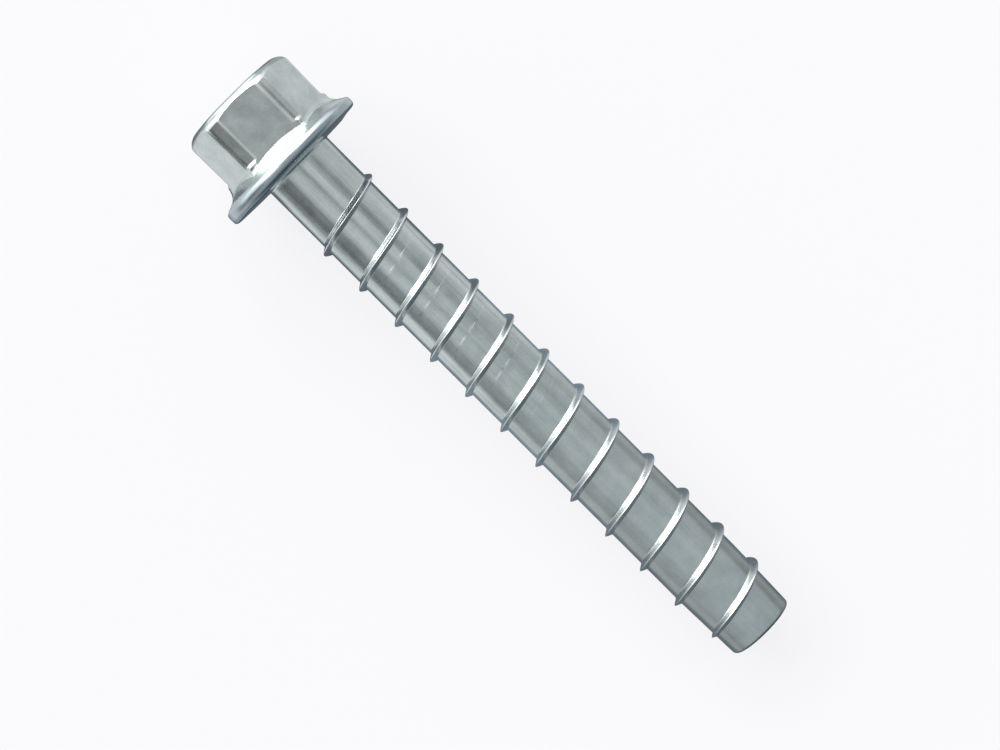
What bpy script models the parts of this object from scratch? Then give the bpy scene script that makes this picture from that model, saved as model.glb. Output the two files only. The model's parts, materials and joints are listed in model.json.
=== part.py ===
"""Concrete screw anchor with a hexagon flange head, formed from one piece of zinc plated steel.

The screw is modelled upright on its own axis: the flange's bearing face is at height 0, the shank rises from it to
the tip, and the head hangs below it. It is then laid on the ground as it comes to rest, on the rim of its flange and
the crest of its thread, with its head towards -X and its tip towards +X.
"""

import math

import bmesh
import bpy

MM = 0.001

# Shank, from the bearing face to the tip
SHANK_LENGTH = 100.0 * MM
CORE_DIAMETER = 12.0 * MM
NECK_FILLET = 0.4 * MM
TAPER_LENGTH = 12.0 * MM
TIP_DIAMETER = 11.35 * MM
TIP_ROUND = 0.55 * MM

# Thread, one thin right-handed ridge with a wide pitch that dives into the core at both ends
PITCH = 7.55 * MM
RIDGE_HEIGHT = 1.08 * MM
RIDGE_BASE = 1.25 * MM
RIDGE_CREST = 0.3 * MM
RIDGE_ROOT = 0.5 * MM
RIDGE_DIP = 0.1 * MM
RIDGE_START = 6.2 * MM
RIDGE_RISE = 3.2 * MM
RIDGE_FALL = 4.6 * MM
TIP_PLAIN = 1.9 * MM
CREST_AT_SIDE = 8.8 * MM

# Head, from the bearing face back
HEAD_HEIGHT = 14.1 * MM
HEX_ACROSS_FLATS = 18.0 * MM
HEX_CORNER_ROUND = 1.8 * MM
HEX_ROLL = math.radians(2.0)
CHAMFER_DIAMETER = 14.4 * MM
CHAMFER_ANGLE = math.radians(30.0)
FLANGE_DIAMETER = 25.6 * MM
RIM_HEIGHT = 2.0 * MM
RIM_FOOT_ROUND = 1.0 * MM
RIM_TOP_ROUND = 1.1 * MM
CONE_ANGLE = math.radians(30.0)
HEX_FOOT_FILLET = 1.0 * MM
HEX_FOOT_INSET = 0.35 * MM

# Facets
TURN_STEPS = 36
ROUND_STEPS = 3
SHARP_EDGE = math.radians(32.0)
WELD = 0.001 * MM

STEEL_COLOUR = (0.60, 0.64, 0.63, 1.0)
STEEL_ROUGHNESS = 0.34


def clear_scene():
    for obj in list(bpy.data.objects):
        bpy.data.objects.remove(obj, do_unlink=True)


def make_collection(name):
    collection = bpy.data.collections.new(name)
    bpy.context.scene.collection.children.link(collection)
    return collection


def zinc_plated_steel():
    material = bpy.data.materials.new("zinc_plated_steel")
    material.use_nodes = True
    shader = material.node_tree.nodes["Principled BSDF"]
    shader.inputs["Base Color"].default_value = STEEL_COLOUR
    shader.inputs["Metallic"].default_value = 1.0
    shader.inputs["Roughness"].default_value = STEEL_ROUGHNESS
    material.diffuse_color = STEEL_COLOUR
    return material


def arc(centre, radius, start, end):
    """Points of an arc in the profile's plane, between two angles from the outward direction."""
    angles = [start + (end - start) * step / ROUND_STEPS for step in range(ROUND_STEPS + 1)]
    return [(centre[0] + radius * math.cos(a), centre[1] + radius * math.sin(a)) for a in angles]


def core_radius(height):
    """The shank's own radius at a height, without the ridge."""
    taper_start = SHANK_LENGTH - TAPER_LENGTH
    share = max(0.0, (height - taper_start) / TAPER_LENGTH)
    return (CORE_DIAMETER + (TIP_DIAMETER - CORE_DIAMETER) * share) / 2


def cone_height(radius):
    """The height of the flange's cone at a radius. The cone would meet the rim sharply at RIM_HEIGHT."""
    return -RIM_HEIGHT - (FLANGE_DIAMETER / 2 - radius) * math.tan(CONE_ANGLE)


def shank_profile():
    """The end face, its rounded edge, the tapered end, and the core down to the fillet on the bearing face."""
    tip_radius = TIP_DIAMETER / 2
    tip_round_centre = (tip_radius - TIP_ROUND, SHANK_LENGTH - TIP_ROUND)
    neck_centre = (CORE_DIAMETER / 2 + NECK_FILLET, NECK_FILLET)
    return [
        (0.0, SHANK_LENGTH),
        *arc(tip_round_centre, TIP_ROUND, math.radians(90), 0.0),
        (CORE_DIAMETER / 2, SHANK_LENGTH - TAPER_LENGTH),
        *arc(neck_centre, NECK_FILLET, math.radians(180), math.radians(270)),
    ]


def flange_profile():
    """The rounded rim, the cone, and the fillet that runs from the cone up inside the hexagon's flats."""
    rim_radius = FLANGE_DIAMETER / 2
    foot_centre = (rim_radius - RIM_FOOT_ROUND, -RIM_FOOT_ROUND)
    top_radius = rim_radius - RIM_TOP_ROUND
    top_centre = (top_radius, cone_height(top_radius) + RIM_TOP_ROUND / math.cos(CONE_ANGLE))
    fillet_radius = HEX_ACROSS_FLATS / 2 - HEX_FOOT_INSET + HEX_FOOT_FILLET
    fillet_centre = (fillet_radius, cone_height(fillet_radius) - HEX_FOOT_FILLET / math.cos(CONE_ANGLE))
    return [
        *arc(foot_centre, RIM_FOOT_ROUND, math.radians(90), 0.0),
        *arc(top_centre, RIM_TOP_ROUND, 0.0, CONE_ANGLE - math.radians(90)),
        *arc(fillet_centre, HEX_FOOT_FILLET, CONE_ANGLE + math.radians(90), math.radians(180)),
        (0.0, fillet_centre[1]),
    ]


def turned(name, profile, collection):
    """A solid of revolution about Z, from a profile of (radius, height) that runs down its outer side."""
    mesh = bpy.data.meshes.new(name)
    points = [(radius, 0.0, height) for radius, height in profile]
    mesh.from_pydata(points, [(i, i + 1) for i in range(len(points) - 1)], [])
    obj = bpy.data.objects.new(name, mesh)
    collection.objects.link(obj)
    screw = obj.modifiers.new("turn", "SCREW")
    screw.axis = "Z"
    screw.steps = screw.render_steps = TURN_STEPS
    screw.use_merge_vertices = True
    screw.merge_threshold = WELD
    # A flat of the turned form, not a corner between two flats, comes to face the ground
    obj.rotation_euler.z = math.pi / TURN_STEPS
    return obj


def combine(obj, other, operation):
    boolean = obj.modifiers.new(operation.lower(), "BOOLEAN")
    boolean.operation = operation
    boolean.solver = "EXACT"
    boolean.object = other


def hexagon(collection):
    """The wrench hexagon, with rounded corners and a chamfer turned on its end."""
    foot = -RIM_HEIGHT / 2
    end = -HEAD_HEIGHT * 1.1
    bpy.ops.mesh.primitive_cylinder_add(
        vertices=6,
        radius=HEX_ACROSS_FLATS / math.sqrt(3),
        depth=foot - end,
        location=(0.0, 0.0, (foot + end) / 2),
        rotation=(0.0, 0.0, HEX_ROLL),
    )
    obj = bpy.context.object
    obj.name = "hexagon"
    for previous in obj.users_collection:
        previous.objects.unlink(obj)
    collection.objects.link(obj)

    # Only the upright edges are rounded
    weights = obj.data.attributes.new("bevel_weight_edge", "FLOAT", "EDGE")
    for edge in obj.data.edges:
        low, high = (obj.data.vertices[i].co.z for i in edge.vertices)
        weights.data[edge.index].value = 1.0 if abs(high - low) > WELD else 0.0
    bevel = obj.modifiers.new("corner_round", "BEVEL")
    bevel.limit_method = "WEIGHT"
    bevel.width = HEX_CORNER_ROUND * math.tan(math.radians(30))
    bevel.segments = ROUND_STEPS

    combine(obj, chamfer_envelope(collection), "INTERSECT")
    return obj


def chamfer_envelope(collection):
    """The turned outline that the hexagon is trimmed to: wide over the flats, with a cone at the head's end."""
    chamfer_radius = CHAMFER_DIAMETER / 2
    wide = FLANGE_DIAMETER / 2
    chamfer_depth = (wide - chamfer_radius) * math.tan(CHAMFER_ANGLE)
    profile = [
        (0.0, 0.0),
        (wide, 0.0),
        (wide, chamfer_depth - HEAD_HEIGHT),
        (chamfer_radius, -HEAD_HEIGHT),
        (0.0, -HEAD_HEIGHT),
    ]
    return turned("chamfer_envelope", profile, collection)


def ridge_section(collection):
    """The ridge's section as a closed outline, with its origin in the middle of the crest."""
    flank_slope = (RIDGE_BASE - RIDGE_CREST) / 2 / RIDGE_HEIGHT
    depth = RIDGE_HEIGHT + RIDGE_ROOT
    half_root = RIDGE_CREST / 2 + flank_slope * depth
    outline = [(0.0, RIDGE_CREST / 2), (0.0, -RIDGE_CREST / 2), (-depth, -half_root), (-depth, half_root)]
    curve = bpy.data.curves.new("ridge_section", "CURVE")
    spline = curve.splines.new("POLY")
    spline.points.add(len(outline) - 1)
    for point, (outward, along) in zip(spline.points, outline):
        point.co = (outward, along, 0.0, 1.0)
    spline.use_cyclic_u = True
    obj = bpy.data.objects.new("ridge_section", curve)
    collection.objects.link(obj)
    return obj


def crest_path():
    """Points along the ridge's crest. The crest dips just under the core's surface at both ends."""
    stop = SHANK_LENGTH - TIP_PLAIN
    rise_per_step = PITCH / TURN_STEPS
    # A step's middle, not its end, lies on the side that faces the ground
    side_height = CREST_AT_SIDE - PITCH / 4 + rise_per_step / 2
    first = math.ceil((RIDGE_START - side_height) / rise_per_step)
    last = math.floor((stop - side_height) / rise_per_step)
    points = []
    for step in range(first, last + 1):
        height = side_height + step * rise_per_step
        angle = (step + 0.5) * math.tau / TURN_STEPS
        share = min(1.0, (height - RIDGE_START) / RIDGE_RISE, (stop - height) / RIDGE_FALL)
        radius = core_radius(height) + RIDGE_HEIGHT * share - RIDGE_DIP * (1.0 - share)
        points.append((radius * math.cos(angle), radius * math.sin(angle), height))
    return points


def thread_ridge(collection):
    """The ridge's section swept along its crest, as a closed mesh."""
    curve = bpy.data.curves.new("ridge_path", "CURVE")
    curve.dimensions = "3D"
    curve.twist_mode = "Z_UP"
    curve.bevel_mode = "OBJECT"
    curve.bevel_object = ridge_section(collection)
    curve.use_fill_caps = True
    path = crest_path()
    spline = curve.splines.new("POLY")
    spline.points.add(len(path) - 1)
    for point, place in zip(spline.points, path):
        point.co = (*place, 1.0)
    sweep = bpy.data.objects.new("ridge_path", curve)
    collection.objects.link(sweep)

    ridge = bpy.data.objects.new("thread_ridge", applied_mesh(sweep))
    collection.objects.link(ridge)
    bpy.data.objects.remove(curve.bevel_object, do_unlink=True)
    bpy.data.objects.remove(sweep, do_unlink=True)
    return ridge


def applied_mesh(obj):
    """The object's mesh with its modifiers or sweep applied, in world space and welded."""
    depsgraph = bpy.context.evaluated_depsgraph_get()
    mesh = bpy.data.meshes.new_from_object(obj.evaluated_get(depsgraph), depsgraph=depsgraph)
    mesh.transform(obj.matrix_world)
    bm = bmesh.new()
    bm.from_mesh(mesh)
    bmesh.ops.remove_doubles(bm, verts=bm.verts, dist=WELD)
    bmesh.ops.dissolve_degenerate(bm, edges=bm.edges, dist=WELD)
    bmesh.ops.recalc_face_normals(bm, faces=bm.faces)
    bm.to_mesh(mesh)
    bm.free()
    return mesh


def lay_down(obj):
    """Turns the axis level and lets the tip sink until the flange's rim and the thread both touch the ground."""
    points = [vertex.co for vertex in obj.data.vertices]
    # The side along the upright screw's +X becomes the underside
    rim = max((p for p in points if p.z < 0.0), key=lambda p: (round(p.x, 7), p.z))
    tilt = min(math.atan2(rim.x - p.x, p.z - rim.z) for p in points if p.z > 0.0)
    obj.rotation_euler.y = math.radians(90) + tilt
    bpy.context.view_layer.update()
    laid = [obj.matrix_world @ p for p in points]
    middle = (min(p.x for p in laid) + max(p.x for p in laid)) / 2
    obj.location = (-middle, 0.0, -min(p.z for p in laid))


def screw_anchor(collection, workshop):
    blank = turned("blank", shank_profile() + flange_profile(), workshop)
    combine(blank, hexagon(workshop), "UNION")
    combine(blank, thread_ridge(workshop), "UNION")
    bpy.context.view_layer.update()
    anchor = bpy.data.objects.new("screw_anchor", applied_mesh(blank))
    collection.objects.link(anchor)
    anchor.data.name = "screw_anchor"
    anchor.data.materials.clear()
    anchor.data.materials.append(zinc_plated_steel())
    anchor.data.shade_smooth()
    anchor.data.set_sharp_from_angle(angle=SHARP_EDGE)
    lay_down(anchor)
    return anchor


def hide_workshop(workshop):
    for obj in workshop.objects:
        obj.hide_render = True
        obj.display_type = "WIRE"


clear_scene()
cutters = make_collection("cutters")
screw_anchor(make_collection("screw anchor"), cutters)
hide_workshop(cutters)
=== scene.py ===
import json
import math

import bmesh
import bpy
from mathutils import Matrix, Vector


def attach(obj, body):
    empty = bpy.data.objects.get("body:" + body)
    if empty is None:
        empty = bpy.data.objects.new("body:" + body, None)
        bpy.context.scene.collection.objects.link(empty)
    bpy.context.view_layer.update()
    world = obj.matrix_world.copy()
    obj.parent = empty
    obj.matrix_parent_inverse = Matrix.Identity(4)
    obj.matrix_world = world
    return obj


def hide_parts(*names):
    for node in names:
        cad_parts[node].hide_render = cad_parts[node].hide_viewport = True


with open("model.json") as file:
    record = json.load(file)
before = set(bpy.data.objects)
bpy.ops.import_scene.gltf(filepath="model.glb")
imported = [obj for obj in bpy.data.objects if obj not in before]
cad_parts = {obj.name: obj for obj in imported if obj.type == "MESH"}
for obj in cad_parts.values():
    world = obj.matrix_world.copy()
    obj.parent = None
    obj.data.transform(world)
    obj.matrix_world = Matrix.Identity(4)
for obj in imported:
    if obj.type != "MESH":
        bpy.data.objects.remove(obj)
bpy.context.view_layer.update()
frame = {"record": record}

# All lengths in the settings are millimetres along or across the screw's own axis.
# Height 0 is the bearing face, the tip is at +100 and the head hangs below 0.
mm = 0.001


# where the CAD screw lies

mounts = {mount["name"]: mount for mount in frame["record"]["mounts"]}
screwAxis = Vector(mounts["bearing_face"]["axis"]).normalized()
headHeight = 14.1
headEnd = Vector(mounts["head_end"]["pos_m"])
bearingCentre = headEnd + screwAxis * headHeight * mm
tiltAngle = math.atan2(-screwAxis.z, screwAxis.x)
# The screw's own +Z runs to the tip and its own +X faces the ground
toWorld = Matrix.Translation(bearingCentre) @ Matrix.Rotation(math.pi / 2 + tiltAngle, 4, "Y")
print("screw axis", tuple(screwAxis), "tilt", round(math.degrees(tiltAngle), 3))


# shader helpers

class Socket:
    # wraps an output of a node, so that shader values can be used in sums
    def __init__(self, shading, socket):
        self.shading = shading
        self.socket = socket

    def other(self, name):
        return Socket(self.shading, self.socket.node.outputs[name])

    def math(self, operation, *values):
        return self.shading.node("ShaderNodeMath", {"operation": operation}, dict(enumerate(values)))

    def __add__(self, value):
        return self.math("ADD", self, value)

    def __radd__(self, value):
        return self.math("ADD", value, self)

    def __sub__(self, value):
        return self.math("SUBTRACT", self, value)

    def __rsub__(self, value):
        return self.math("SUBTRACT", value, self)

    def __mul__(self, value):
        return self.math("MULTIPLY", self, value)

    def __rmul__(self, value):
        return self.math("MULTIPLY", value, self)

    def __truediv__(self, value):
        return self.math("DIVIDE", self, value)

    def __pow__(self, value):
        return self.math("POWER", self, value)

    def __neg__(self):
        return self.math("MULTIPLY", self, -1.0)


class Shading:
    # a node tree that is filled by one method
    def __init__(self, tree):
        self.tree = tree
        tree.nodes.clear()

    def node(self, kind, settings=None, sockets=None, output=0):
        node = self.tree.nodes.new(kind)
        for name, value in (settings or {}).items():
            if name == "stops":
                ramp = node.color_ramp.elements
                while len(ramp) > 1:
                    ramp.remove(ramp[-1])
                for index, (place, level) in enumerate(value):
                    stop = ramp[0] if index == 0 else ramp.new(place)
                    stop.position = place
                    stop.color = (*level, 1.0) if isinstance(level, tuple) else (level, level, level, 1.0)
            elif name == "interpolation" and kind == "ShaderNodeValToRGB":
                node.color_ramp.interpolation = value
            else:
                setattr(node, name, value)
        for name, value in (sockets or {}).items():
            if isinstance(value, Socket):
                self.tree.links.new(value.socket, node.inputs[name])
            elif isinstance(value, tuple) and len(value) == 3 and node.inputs[name].type == "RGBA":
                node.inputs[name].default_value = (*value, 1.0)
            else:
                node.inputs[name].default_value = value
        return Socket(self, node.outputs[output]) if len(node.outputs) else node

    def mixColour(self, share, first, second):
        return self.node("ShaderNodeMix", {"data_type": "RGBA"}, {0: share, 6: first, 7: second}, 2)

    def smooth(self, value, low, high, fromLevel=0.0, toLevel=1.0):
        return self.node(
            "ShaderNodeMapRange",
            {"interpolation_type": "SMOOTHSTEP"},
            {"Value": value, "From Min": low, "From Max": high, "To Min": fromLevel, "To Max": toLevel},
        )

    def noise(self, vector, scale, detail=2.0, roughness=0.5):
        sockets = {"Vector": vector, "Scale": scale, "Detail": detail, "Roughness": roughness}
        return self.node("ShaderNodeTexNoise", {}, sockets)

    def scaled(self, vector, factors):
        return self.node("ShaderNodeVectorMath", {"operation": "MULTIPLY"}, {0: vector, 1: factors})


def makeMaterial(name):
    material = bpy.data.materials.new(name)
    material.use_nodes = True
    return material, Shading(material.node_tree)


# the screw's shape

shankShape = {
    "length": 100.0,
    "coreRadius": 6.0,
    "taperLength": 12.0,
    "tipRadius": 5.675,
    "tipRound": 0.6,
    "neckFillet": 0.4,
}

ridgeShape = {
    "pitch": 7.55,
    "height": 1.08,
    "crestWidth": 0.12,
    "headFlank": 0.7,           # how far each flank runs along the axis
    "tipFlank": 0.44,
    "crestSoft": 0.26,
    "rootSoft": 0.16,
    "dip": 0.1,                 # how far the crest dives under the core at both ends
    "start": 6.2,
    "rise": 3.2,
    "stop": 98.1,
    "fall": 3.7,
    "heightAtSide": 8.8,        # where the first crest passes the +Y side
    # a faint step that the rolling dies left beside the first turns, on the side that lies up
    "markAside": 2.35,
    "markHeight": 0.045,
    "markRun": 0.25,
    "markEnd": 1.4,
    "markFrom": (12, 18),       # where it comes in along the shank, and where it ends
    "markTo": (40, 55),
    "markUp": (0.55, 0.9),      # how it fades away from the top, as cosines and sines
    "markFront": (-0.6, -0.15),
    # samples across one pitch, measured from the crest
    "samples": [-3.6, -2.8, -2.0, -1.4, -1.0, -0.85, -0.76, -0.68, -0.61, -0.54, -0.47, -0.4, -0.33, -0.26,
                -0.19, -0.12, -0.06, 0.0, 0.06, 0.12, 0.19, 0.26, 0.33, 0.4, 0.47, 0.54, 0.61, 0.68, 0.76,
                0.85, 1.0, 1.5, 2.2, 2.35, 2.42, 2.48, 2.54, 2.6, 2.8, 3.2],
}

headShape = {
    "halfFlats": 9.05,
    # each corner is blunted by a narrow lopsided facet, not the same at every corner
    "facetStart": 1.5,
    "facetShares": (1.0, 0.8, 0.6, 1.0, 0.8, 0.7),
    "facetEnd": 0.78,           # where it ends past the corner, as a share of where it starts before it
    "facetSoft": (0.3, 0.75),
    "fullRadius": 10.38,        # the corners below the facets, at the foot
    "flare": (-5.0, -4.3),      # where the facets give way to the full corners
    "roll": 2.0,                # degrees
    "taper": 0.012,             # how much slimmer the hexagon is at its foot, as a share
    "endRadius": 7.2,           # the flat disc at the head's end
    "endAtCorner": 0.5,         # how much wider it is at the corners
    "chamferAtFlat": 1.1,
    "chamferAtCorner": 1.75,
    "chamferCurve": 1.7,
    "flangeRadius": 12.8,
    "rimHeight": 1.98,
    "rimFootAcross": 1.2,
    "rimFootAlong": 1.15,
    "rimTopRound": 1.3,
    "rimSideTop": 0.7,          # the rim is squarer where it passes the two sides
    "rimSideFoot": 0.6,
    "coneAngle": 27.0,          # degrees
    "filletAtFlat": 1.3,
    "filletAtCorner": 1.2,
    "filletAtSide": 2.2,        # at the two corners that lie level
    "side": (0.8, 0.99),        # where the two sides begin, as sines
    # hexagon and flange both sit a little off the axis
    "hexagonAside": 0.15,
    "hexagonFrom": (3.4, 4.8),
    "flangeAside": -0.29,
    "flangeFrom": (10.4, 12.6),
    "rimThinner": 0.02,         # how much thinner the rim gets towards the +Y side, per length across
    "thinnerAcross": -7.6,
    "thinnerRadius": (9.0, 11.5),
    "thinnerHeight": (-2.0, -1.0),
}


def bend(start, corner, end, steps):
    points = []
    for step in range(steps + 1):
        share = step / steps
        points.append(start * (1 - share) ** 2 + corner * 2 * share * (1 - share) + end * share ** 2)
    return points


def cornerPoints(size):
    # one corner of the hexagon as (angle, radius), measured from the corner's own direction
    flats = headShape["halfFlats"]
    sharp = Vector((flats / math.cos(math.radians(30)), 0.0))
    before, after = Vector((-0.5, -0.866)), Vector((-0.5, 0.866))
    first = sharp + before * size
    second = sharp + after * size * headShape["facetEnd"]
    along = (second - first).normalized()
    firstSoft, secondSoft = headShape["facetSoft"]
    points = bend(first + before * firstSoft, first, first + along * firstSoft, 4)
    points += bend(second - along * secondSoft, second, second + after * secondSoft, 6)
    return [(math.atan2(point.y, point.x), point.length) for point in points]


def sectionColumns():
    # the hexagon's section as (angle, radius), once round, with close columns at its six corners
    flats = headShape["halfFlats"]
    corners = []
    for side, share in enumerate(headShape["facetShares"]):
        turn = math.radians(30 + headShape["roll"] + 60 * side)
        points = cornerPoints(headShape["facetStart"] * share)
        corners.append([(turn + angle, radius) for angle, radius in points])
    columns = []
    for side in range(6):
        columns += corners[side]
        middle = math.radians(60 + headShape["roll"] + 60 * side)
        start = corners[side][-1][0]
        end = corners[(side + 1) % 6][0][0] + (math.tau if side == 5 else 0)
        for step in range(1, 12):
            angle = start + (end - start) * step / 12
            columns.append((angle, flats / math.cos(angle - middle)))
    return columns + [(columns[0][0] + math.tau, columns[0][1])]


def fullCorner(angle):
    # the hexagon's radius where its corners are not blunted
    turn = (math.degrees(angle) - headShape["roll"] + 30) % 60 - 30
    return min(headShape["halfFlats"] / math.cos(math.radians(turn)), headShape["fullRadius"])


def coreRadius(height):
    share = (height - shankShape["length"] + shankShape["taperLength"]) / shankShape["taperLength"]
    drop = shankShape["coreRadius"] - shankShape["tipRadius"]
    return shankShape["coreRadius"] - drop * min(1.0, max(0.0, share))


def softMax(first, second, width):
    # the greater of two values, with the edge between them rounded
    overlap = max(width - abs(first - second), 0.0) / width
    return max(first, second) + overlap * overlap * width / 4


def between(first, second, share):
    return first * (1 - share) + second * share


def softStep(value, low, high):
    share = min(1.0, max(0.0, (value - low) / (high - low)))
    return share * share * (3 - 2 * share)


def markHeight(fromMark, height, angle):
    run = ridgeShape["markRun"]
    mark = softStep(fromMark, 0, run) * (1 - softStep(fromMark, run, ridgeShape["markEnd"]))
    mark *= softStep(-math.cos(angle), *ridgeShape["markUp"])
    mark *= softStep(math.sin(angle), *ridgeShape["markFront"])
    mark *= softStep(height, *ridgeShape["markFrom"]) * (1 - softStep(height, *ridgeShape["markTo"]))
    return mark * ridgeShape["markHeight"]


def ridgeRadius(height, crestHeight, angle):
    # the shank's radius where a vertex lies height up, next to a crest that is crestHeight up
    share = min(
        1.0,
        (crestHeight - ridgeShape["start"]) / ridgeShape["rise"],
        (ridgeShape["stop"] - crestHeight) / ridgeShape["fall"],
    )
    crest = coreRadius(crestHeight) + ridgeShape["height"] * share - ridgeShape["dip"] * (1 - share)
    soft = ridgeShape["crestSoft"]
    outside = softMax(abs(height - crestHeight) - ridgeShape["crestWidth"] / 2, 0.0, soft)
    run = ridgeShape["headFlank"] if height < crestHeight else ridgeShape["tipFlank"]
    flank = crest - outside * ridgeShape["height"] / run
    fromMark = height - crestHeight - ridgeShape["markAside"]
    return softMax(coreRadius(height), flank, ridgeShape["rootSoft"]) + markHeight(fromMark, height, angle)


def arcPoints(centre, radius, start, end, steps, along=None):
    points = []
    for step in range(steps + 1):
        angle = math.radians(start + (end - start) * step / steps)
        points.append((centre[0] + radius * math.cos(angle), centre[1] + (along or radius) * math.sin(angle)))
    return points


def coneHeight(radius):
    slope = math.tan(math.radians(headShape["coneAngle"]))
    return -headShape["rimHeight"] - (headShape["flangeRadius"] - radius) * slope


def headOutline(hexagon, full, widest, angle):
    # from the end disc's centre, over chamfer, flat, fillet, cone and rim, to the neck
    corner = (hexagon - headShape["halfFlats"]) / (widest - headShape["halfFlats"])
    drop = headShape["chamferAtFlat"]
    drop += (headShape["chamferAtCorner"] - headShape["chamferAtFlat"]) * corner
    endRadius = headShape["endRadius"] + headShape["endAtCorner"] * corner
    inset = hexagon - endRadius
    power = 2 / headShape["chamferCurve"]
    points = [(endRadius * share, -headHeight) for share in (0.0, 0.25, 0.5, 0.75, 0.93)]
    for step in range(8, -1, -1):
        turn = math.radians(90) * step / 8
        across = hexagon - inset * (1 - math.cos(turn) ** power)
        points.append((across, -headHeight + drop * (1 - math.sin(turn) ** power)))

    level = softStep(abs(math.sin(angle)), *headShape["side"])
    fillet = between(headShape["filletAtCorner"], headShape["filletAtSide"], level)
    fillet = between(headShape["filletAtFlat"], fillet, corner)
    cone = headShape["coneAngle"]
    foot = full * (1 - headShape["taper"])
    filletCentre = (foot + fillet, coneHeight(foot + fillet) - fillet / math.cos(math.radians(cone)))
    top = -headHeight + drop
    flareEnd = min(headShape["flare"][1], filletCentre[1] - 0.05)
    flareStart = min(headShape["flare"][0], flareEnd - 0.7)
    for step in range(1, 6):
        share = step / 5
        points.append((hexagon * (1 - headShape["taper"] * share), top + (flareStart - top) * share))
    blunt = points[-1][0]
    for step in range(1, 7):
        share = step / 6
        across = blunt + (foot - blunt) * softStep(share, 0, 1)
        points.append((across, flareStart + (flareEnd - flareStart) * share))
    points += arcPoints(filletCentre, fillet, 180, 90 + cone, 10)

    rimRadius = headShape["flangeRadius"]
    rimRound = between(headShape["rimTopRound"], headShape["rimSideTop"], level)
    rimCentre = rimRadius - rimRound
    topCentre = (rimCentre, coneHeight(rimCentre) + rimRound / math.cos(math.radians(cone)))
    topArc = arcPoints(topCentre, rimRound, cone - 90, 0, 7)
    start, end = points[-1], topArc[0]
    for step in range(1, 5):
        share = step / 5
        points.append((start[0] + (end[0] - start[0]) * share, start[1] + (end[1] - start[1]) * share))
    points += topArc
    across = between(headShape["rimFootAcross"], headShape["rimSideFoot"], level)
    along = between(headShape["rimFootAlong"], headShape["rimSideFoot"], level)
    points += arcPoints((rimRadius - across, -along), across, 0, 90, 8, along)
    points += [(radius, 0.0) for radius in (10.8, 9.6, 8.4, 7.3)]
    neck = shankShape["neckFillet"]
    points += arcPoints((shankShape["coreRadius"] + neck, neck), neck, 270, 180, 5)
    return points


def tipOutline():
    # the rounded edge and the end face
    tipRound = shankShape["tipRound"]
    centre = (shankShape["tipRadius"] - tipRound, shankShape["length"] - tipRound)
    points = arcPoints(centre, tipRound, 0, 90, 6)
    return points + [(centre[0] * share, shankShape["length"]) for share in (0.97, 0.75, 0.5, 0.25, 0.0)]


def shankRows(angles):
    # rows that climb with the thread; above and below the threaded length they are flattened onto a ring
    lowest = shankShape["neckFillet"] + 0.5
    highest = shankShape["length"] - shankShape["tipRound"] - 0.8
    pitch = ridgeShape["pitch"]
    rows = []
    for turn in range(-3, 15):
        for sample in ridgeShape["samples"]:
            row = []
            for angle in angles:
                climb = pitch * (math.degrees(angle) - 90) / 360
                crestHeight = ridgeShape["heightAtSide"] + climb + turn * pitch
                height = min(highest, max(lowest, crestHeight + sample))
                row.append((ridgeRadius(height, crestHeight, angle), height))
            if max(height for _, height in row) > lowest and min(height for _, height in row) < highest:
                rows.append(row)
    return rows


def placed(angle, radius, height):
    # a point in the screw's own directions, with the head's small faults
    aside = headShape["flangeAside"] * softStep(radius, *headShape["flangeFrom"])
    aside += headShape["hexagonAside"] * softStep(-height, *headShape["hexagonFrom"])
    across = radius * math.sin(angle) + aside
    thinner = headShape["rimThinner"] * max(0.0, across - headShape["thinnerAcross"])
    thinner *= softStep(radius, *headShape["thinnerRadius"]) * softStep(height, *headShape["thinnerHeight"])
    return Vector((radius * math.cos(angle), across, height - thinner)) * mm


def buildScrew():
    columns = sectionColumns()
    angles = [angle for angle, _ in columns]
    widest = max(radius for _, radius in columns)
    headColumns = [headOutline(radius, fullCorner(angle), widest, angle) for angle, radius in columns]
    rows = [[column[index] for column in headColumns] for index in range(len(headColumns[0]))]
    rows += shankRows(angles)
    rows += [[point] * len(angles) for point in tipOutline()]

    mesh = bmesh.new()
    grid = []
    for row in rows:
        line = []
        for angle, (radius, height) in zip(angles, row):
            line.append(mesh.verts.new(toWorld @ placed(angle, radius, height)))
        grid.append(line)
    for lower, upper in zip(grid, grid[1:]):
        for column in range(len(angles) - 1):
            mesh.faces.new((lower[column], lower[column + 1], upper[column + 1], upper[column]))
    bmesh.ops.remove_doubles(mesh, verts=mesh.verts, dist=0.002 * mm)
    bmesh.ops.dissolve_degenerate(mesh, edges=mesh.edges, dist=0.001 * mm)
    bmesh.ops.recalc_face_normals(mesh, faces=mesh.faces)
    openEdges = sum(1 for edge in mesh.edges if len(edge.link_faces) != 2)
    print("screw mesh", len(mesh.faces), "faces,", openEdges, "open edges")

    data = bpy.data.meshes.new("steelScrew")
    mesh.to_mesh(data)
    mesh.free()
    data.shade_smooth()
    screw = bpy.data.objects.new("steelScrew", data)
    bpy.context.scene.collection.objects.link(screw)
    weighted = screw.modifiers.new("flatNormals", "WEIGHTED_NORMAL")
    weighted.mode = "FACE_AREA"
    weighted.weight = 60
    return screw


# the plating

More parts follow.
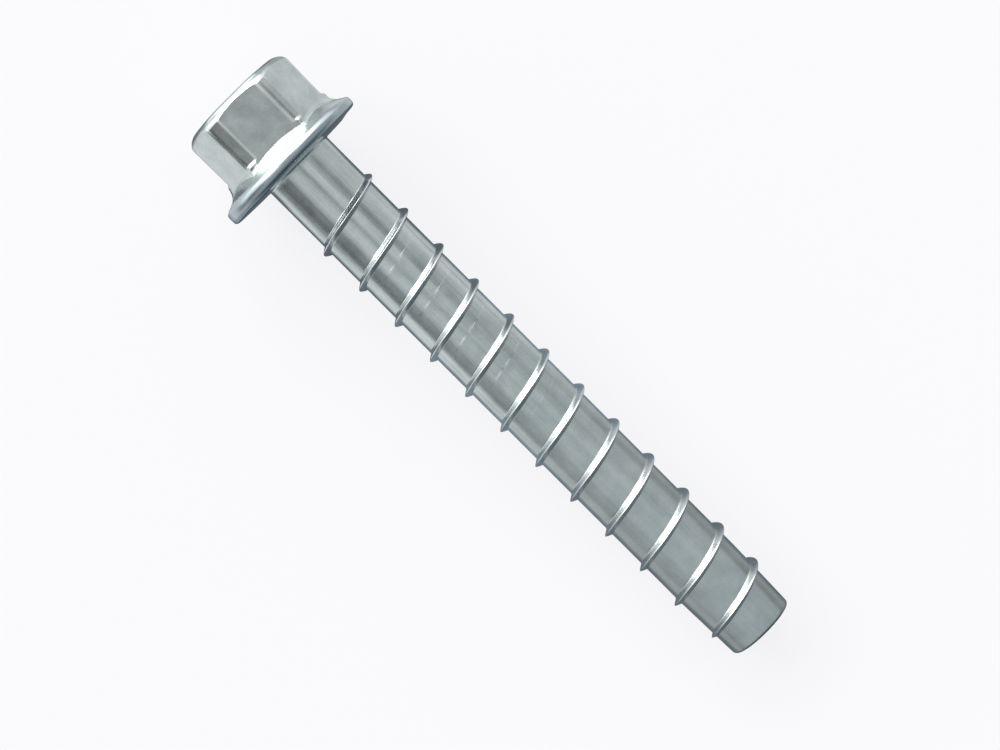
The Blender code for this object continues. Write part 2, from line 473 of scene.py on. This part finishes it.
steelLook = {
    "light": (0.62, 0.685, 0.675),
    "dark": (0.46, 0.525, 0.52),
    # painted shade: the rim is painted darker and cooler
    "rim": (0.42, 0.50, 0.53),
    # painted shade for the rim's edge next to the bearing face
    "rimEdgeShade": (0.19, 0.245, 0.285),
    # painted shade for the crease where the hexagon meets the flange
    "shadeAndDullCrease": (0.27, 0.31, 0.31),
    "ridge": (0.64, 0.68, 0.68),
    "roughness": 0.24,
    "drawnScale": (900.0, 900.0, 26.0),
    "fineScale": (2600.0, 2600.0, 70.0),
    "patchScale": 320.0,
    "grainScale": 2400.0,
    "streakDepth": 1.6,
    "streakAtTip": 0.35,        # how much of the streaks is left at the tip
    "patchDepth": 1.5,
    "bumpStrength": 0.25,
    "bumpDistance": 0.00006,    # in metres
}


def steelMaterial():
    material, shading = makeMaterial("brightZincSteel")
    look = steelLook
    place = shading.node("ShaderNodeTexCoord", output="Object")
    # the screw's own directions: z along the axis, x to the ground
    own = shading.node(
        "ShaderNodeMapping",
        {"vector_type": "TEXTURE"},
        {"Vector": place, "Location": tuple(bearingCentre), "Rotation": (0.0, math.pi / 2 + tiltAngle, 0.0)},
    )
    x = shading.node("ShaderNodeSeparateXYZ", {}, {0: own})
    y, z = x.other("Y"), x.other("Z")
    radius = (x * x + y * y) ** 0.5 * 1000
    height = z * 1000

    # rolling streaks run along the shank and fade towards the tip
    drawn = shading.noise(shading.scaled(own, look["drawnScale"]), 1.0, 3.0, 0.6)
    fine = shading.noise(shading.scaled(own, look["fineScale"]), 1.0, 2.0, 0.5)
    fade = shading.smooth(height, 20.0, 75.0, 1.0, look["streakAtTip"])
    onShank = shading.smooth(height, -0.6, 0.4)
    streaks = (drawn * 0.65 + fine * 0.35 - 0.5) * 2 * fade * onShank
    patches = shading.noise(own, look["patchScale"], 3.0, 0.55) - 0.5
    grain = shading.noise(own, look["grainScale"], 2.0, 0.6) - 0.5

    # painted shade, and rougher plating, in the crease where the hexagon meets the flange
    slope = math.tan(math.radians(headShape["coneAngle"]))
    overCone = (radius - headShape["flangeRadius"]) * slope - headShape["rimHeight"] - height
    shadeAndDullCrease = shading.smooth(overCone, 0.04, 0.1) * shading.smooth(overCone, 0.16, 0.3, 1.0, 0.0)

    onRidge = shading.smooth(radius, 6.12, 6.6) * onShank
    onHead = shading.smooth(height, -3.5, -2.5, 1.0, 0.0)
    mottle = patches * (onHead * 0.5 + 1) * look["patchDepth"]
    tone = 0.55 + streaks * look["streakDepth"] + mottle + grain * 0.6
    colour = shading.mixColour(tone, look["dark"], look["light"])
    colour = shading.mixColour(onRidge, colour, look["ridge"])
    onRim = shading.smooth(radius, 11.7, 12.4)
    # painted shade: the rim is painted darker and cooler
    colour = shading.mixColour(onRim, colour, look["rim"])
    # painted shade: the rim's edge next to the bearing face is painted dark
    shadeOnRimEdge = onRim * shading.smooth(height, -0.8, -0.45)
    colour = shading.mixColour(shadeOnRimEdge, colour, look["rimEdgeShade"])
    # painted shade: the crease where the hexagon meets the flange is painted darker
    colour = shading.mixColour(shadeAndDullCrease * 0.4, colour, look["shadeAndDullCrease"])
    roughness = look["roughness"] + patches * 0.12 - streaks * 0.06 - onRidge * 0.05
    roughness = roughness + shading.smooth(height, 30.0, 80.0) * 0.06 + shadeAndDullCrease * 0.3 + onRim * 0.07
    relief = (drawn * fade * onShank * 0.6 + patches * 0.5 + grain * 0.25) * (1 - onRidge)
    bump = shading.node(
        "ShaderNodeBump",
        {},
        {"Strength": look["bumpStrength"], "Distance": look["bumpDistance"], "Height": relief},
    )

    shader = shading.node(
        "ShaderNodeBsdfPrincipled",
        {},
        {"Base Color": colour, "Roughness": roughness, "Metallic": 1.0, "Normal": bump},
    )
    shading.node("ShaderNodeOutputMaterial", {}, {"Surface": shader})
    return material


screw = buildScrew()
screw.data.materials.append(steelMaterial())
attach(screw, "root")
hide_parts("screw_anchor")
print("screw dressed")


# floor

floorLook = {
    "size": 1.6,
    "colour": (0.939, 0.939, 0.956),    # what the picture shows where nothing shades it
    "shadow": 0.15,                     # how much of the floor's light is real light, near the screw
    "mirrorShadow": 0.1,                # the same, seen in the metal
    "litLevel": 0.8,                    # what the plain white part of the floor renders as in this light
    # how the floor's parts look in the metal: levels are shares of white, depths are what they lose of it,
    # and extras what they gain
    # the painted shadow close to the screw, as it shows in the metal
    "closeDepth": (0.82, 0.6),          # close to the screw, from the head to the tip half
    "closeTint": (0.70, 0.92, 1.12),
    "tipLevel": 0.55,
    "behindLevel": (0.84, 0.66),
    "frontLevel": 0.25,
    "frontFarExtra": 0.75,
    "beyondHeadExtra": 0.9,
    "besideEndDepth": 0.5,
    "besideFarExtra": 0.8,
    "behindFarExtra": 0.6,
    "beyondTipDepth": 0.75,
}


def floorMaterial():
    material, shading = makeMaterial("paleFloor")
    look = floorLook
    place = shading.node("ShaderNodeTexCoord", output="Object")
    x = shading.node("ShaderNodeSeparateXYZ", {}, {0: place})
    y = x.other("Y")
    distance = (x * x + y * y) ** 0.5
    path = shading.node("ShaderNodeLightPath", output="Is Camera Ray")
    mirrored = path.other("Is Glossy Ray") + path.other("Is Transmission Ray")

    # the real light's share fades out away from the screw, where the floor is plain background
    near = shading.smooth(distance, 0.12, 0.45, 1.0, 0.0)
    share = (path * look["shadow"] + mirrored * look["mirrorShadow"]) * near
    # in the metal the floor shows painted light and shade: a dark, cool painted shadow close to the screw,
    # painted shade behind it and past its tip half, and painted light beyond the head
    aside = y.math("ABSOLUTE", y)
    besideRim = shading.smooth(x, -0.051, -0.048) * shading.smooth(x, -0.042, -0.039, 1.0, 0.0)
    behindShank = shading.smooth(x, -0.043, -0.039) * shading.smooth(y, -0.001, 0.001)
    nearer = shading.smooth(y, -0.001, 0.001, 0.004, 0.0) + besideRim * 0.004
    nearer = nearer + behindShank * shading.smooth(x, -0.03, 0.0, 0.006, 0.002)
    close = shading.smooth(aside - nearer, 0.010, 0.017, 1.0, 0.0) * shading.smooth(x, -0.08, -0.068)
    closeDepth = shading.smooth(x, -0.03, 0.01, *look["closeDepth"])
    tipHalf = shading.smooth(x, -0.015, 0.045, 1.0, look["tipLevel"])
    behindLevel = shading.smooth(x, -0.052, -0.045, *look["behindLevel"])
    behind = 1 - shading.smooth(y, 0.014, 0.04) * (1 - behindLevel)
    frontLevel = shading.smooth(x, -0.038, -0.012, look["frontLevel"], 1.0)
    frontLevel = frontLevel + shading.smooth(x, -0.09, -0.075, look["frontFarExtra"], 0.0)
    front = 1 - shading.smooth(y, -0.065, -0.045, 1.0, 0.0) * (1 - frontLevel)
    middle = shading.smooth(aside, 0.012, 0.017, 1.0, 0.0)
    beyondHead = 1 + shading.smooth(x, -0.085, -0.066, look["beyondHeadExtra"], 0.0) * middle
    besideEnd = shading.smooth(x, -0.063, -0.058, 1.0, 0.0) * (1 - middle)
    besideEnd = besideEnd * shading.smooth(aside, 0.02, 0.05, 1.0, 0.0)
    besideEnd = besideEnd * shading.smooth(y, -0.005, 0.005, 0.5, 1.0)
    besideFar = shading.smooth(x, -0.085, -0.072, 1.0, 0.0) * shading.smooth(aside, 0.018, 0.03)
    behindFar = shading.smooth(x, -0.045, -0.03) * shading.smooth(x, -0.01, 0.02, 1.0, 0.0)
    behindFar = behindFar * shading.smooth(y, 0.055, 0.08)
    beyondHead = beyondHead + besideFar * look["besideFarExtra"] + behindFar * look["behindFarExtra"]
    beyondTip = shading.smooth(x, 0.055, 0.09)
    inMetal = behind * front * tipHalf * beyondHead * (1 - close * closeDepth)
    inMetal = inMetal * (1 - besideEnd * look["besideEndDepth"]) * (1 - beyondTip * look["beyondTipDepth"])
    level = path + mirrored * inMetal
    # painted shadow: the floor close to the screw is tinted cool where the metal mirrors it
    tint = shading.mixColour(close * mirrored, look["colour"], look["closeTint"])
    glow = shading.node("ShaderNodeEmission", {}, {"Color": tint, "Strength": level - share * look["litLevel"]})
    white = shading.mixColour(share, (0.0, 0.0, 0.0), (0.8, 0.8, 0.8))
    lit = shading.node("ShaderNodeBsdfDiffuse", {}, {"Color": white})
    both = shading.node("ShaderNodeAddShader", {}, {0: glow, 1: lit})
    shading.node("ShaderNodeOutputMaterial", {}, {"Surface": both})
    return material


def buildFloor():
    half = floorLook["size"] / 2
    data = bpy.data.meshes.new("floor")
    corners = [(-half, -half, 0.0), (half, -half, 0.0), (half, half, 0.0), (-half, half, 0.0)]
    data.from_pydata(corners, [], [(0, 1, 2, 3)])
    data.materials.append(floorMaterial())
    floor = bpy.data.objects.new("floor", data)
    bpy.context.scene.collection.objects.link(floor)


buildFloor()
print("floor laid")


# light

studioLook = {
    "background": (0.939, 0.939, 0.956),
    "cool": (0.80, 0.93, 1.08),
    "plain": (0.57, 0.60, 0.62),        # what the shank's tip half looks at
    "far": (0.50, 0.53, 0.56),
    "tipLevel": 0.18,
    "panelTint": (1.0, 0.97, 0.97),     # a wide soft panel beyond the head
    "panelLevel": 4.8,
    "panelSides": 1.5,                  # its level towards its two ends
    "panelTop": (0.65, 0.77),           # how high it reaches, in its middle and further out
    "gap": (0.13, 0.14, 0.15),          # a dimmer gap above it
    "gapDepth": 0.85,
    # light level round the screw's axis: 0 is straight up, +90 is level on the front side (-Y)
    "round": [
        (-180, 0.90), (-100, 0.66), (-75, 0.64), (-58, 0.68), (-51, 0.46), (-45, 0.24), (-38, 0.22),
        (-31, 0.60), (-22, 0.96), (-10, 0.94), (-3, 0.60), (2, 0.34), (6, 0.40), (12, 0.70), (20, 0.90),
        (34, 0.84), (46, 0.56), (58, 0.20), (85, 0.13), (100, 0.20), (116, 0.80), (180, 0.92),
    ],
}


def studioWorld():
    look = studioLook
    world = bpy.data.worlds.new("softStudio")
    world.use_nodes = True
    bpy.context.scene.world = world
    shading = Shading(world.node_tree)
    direction = shading.node("ShaderNodeTexCoord", output="Generated")
    x = shading.node("ShaderNodeSeparateXYZ", {}, {0: direction})
    y, z = x.other("Y"), x.other("Z")

    around = (-y).math("ARCTAN2", -y, z) / math.tau + 0.5
    stops = [((angle + 180) / 360, level) for angle, level in look["round"]]
    bands = shading.node("ShaderNodeValToRGB", {"interpolation": "LINEAR", "stops": stops}, {0: around})
    # the bands fade where the shank's tip half looks
    plain = shading.smooth(x, 0.055, 0.125)
    far = shading.smooth(x, 0.13, 0.19)
    plainLevel = shading.mixColour(far, look["plain"], look["far"])
    level = shading.mixColour(plain, bands, plainLevel)
    # dim and cool beyond the tip
    beyond = shading.smooth(x, 0.55, 0.88)
    cool = tuple(look["tipLevel"] * part for part in look["cool"])
    level = shading.mixColour(beyond, level, cool)
    # the panel beyond the head, with the gap above it
    headSide = shading.smooth(x, -0.52, -0.3, 1.0, 0.0)
    gap = shading.smooth(x, -0.5, -0.22, 1.0, 0.0) * shading.smooth(z, 0.73, 0.79)
    level = shading.mixColour(gap * look["gapDepth"], level, look["gap"])
    aside = y.math("ABSOLUTE", y)
    top = shading.smooth(aside, 0.08, 0.24, *look["panelTop"])
    panel = headSide * shading.smooth(z, -0.12, -0.02) * shading.smooth(z - top, 0.0, 0.08, 1.0, 0.0)
    bright = tuple(look["panelLevel"] * part for part in look["panelTint"])
    soft = tuple(look["panelSides"] * part for part in look["panelTint"])
    sides = shading.smooth(aside, 0.42, 0.68)
    level = shading.mixColour(panel, level, shading.mixColour(sides, bright, soft))

    path = shading.node("ShaderNodeLightPath", output="Is Camera Ray")
    colour = shading.mixColour(path, level, look["background"])
    glow = shading.node("ShaderNodeBackground", {}, {"Color": colour, "Strength": 1.0})
    shading.node("ShaderNodeOutputWorld", {}, {"Surface": glow})


studioWorld()
print("light set")


# camera

cameraPlace = {
    "aimAlong": 44.1,       # the point on the axis that the picture's middle looks at
    "aimAside": -0.93,      # and how far it is moved towards -Y
    "distance": 463.06,
    "lean": 0.59,           # degrees from straight down, towards the head
    "focal": 3050.0,        # in pixels of the 1000 pixel wide frame
}


def placeCamera():
    settings = cameraPlace
    lean = math.radians(settings["lean"])
    towards = Vector((-math.sin(lean), 0.0, math.cos(lean)))
    along = Vector((math.cos(lean), 0.0, math.sin(lean)))
    across = Vector((0.0, 1.0, 0.0))
    aim = bearingCentre + screwAxis * settings["aimAlong"] * mm + across * settings["aimAside"] * mm
    right = (along + across).normalized()
    up = (across - along).normalized()
    turn = Matrix((right, up, towards)).transposed().to_4x4()
    data = bpy.data.cameras.new("camera")
    data.sensor_width = 36.0
    data.lens = settings["focal"] / 1000 * data.sensor_width
    data.clip_start = 0.01
    data.clip_end = 20.0
    data.dof.use_dof = False
    camera = bpy.data.objects.new("camera", data)
    camera.matrix_world = Matrix.Translation(aim + towards * settings["distance"] * mm) @ turn
    bpy.context.scene.collection.objects.link(camera)
    bpy.context.scene.camera = camera


placeCamera()
bpy.context.scene.view_settings.view_transform = "Standard"
print("camera placed")
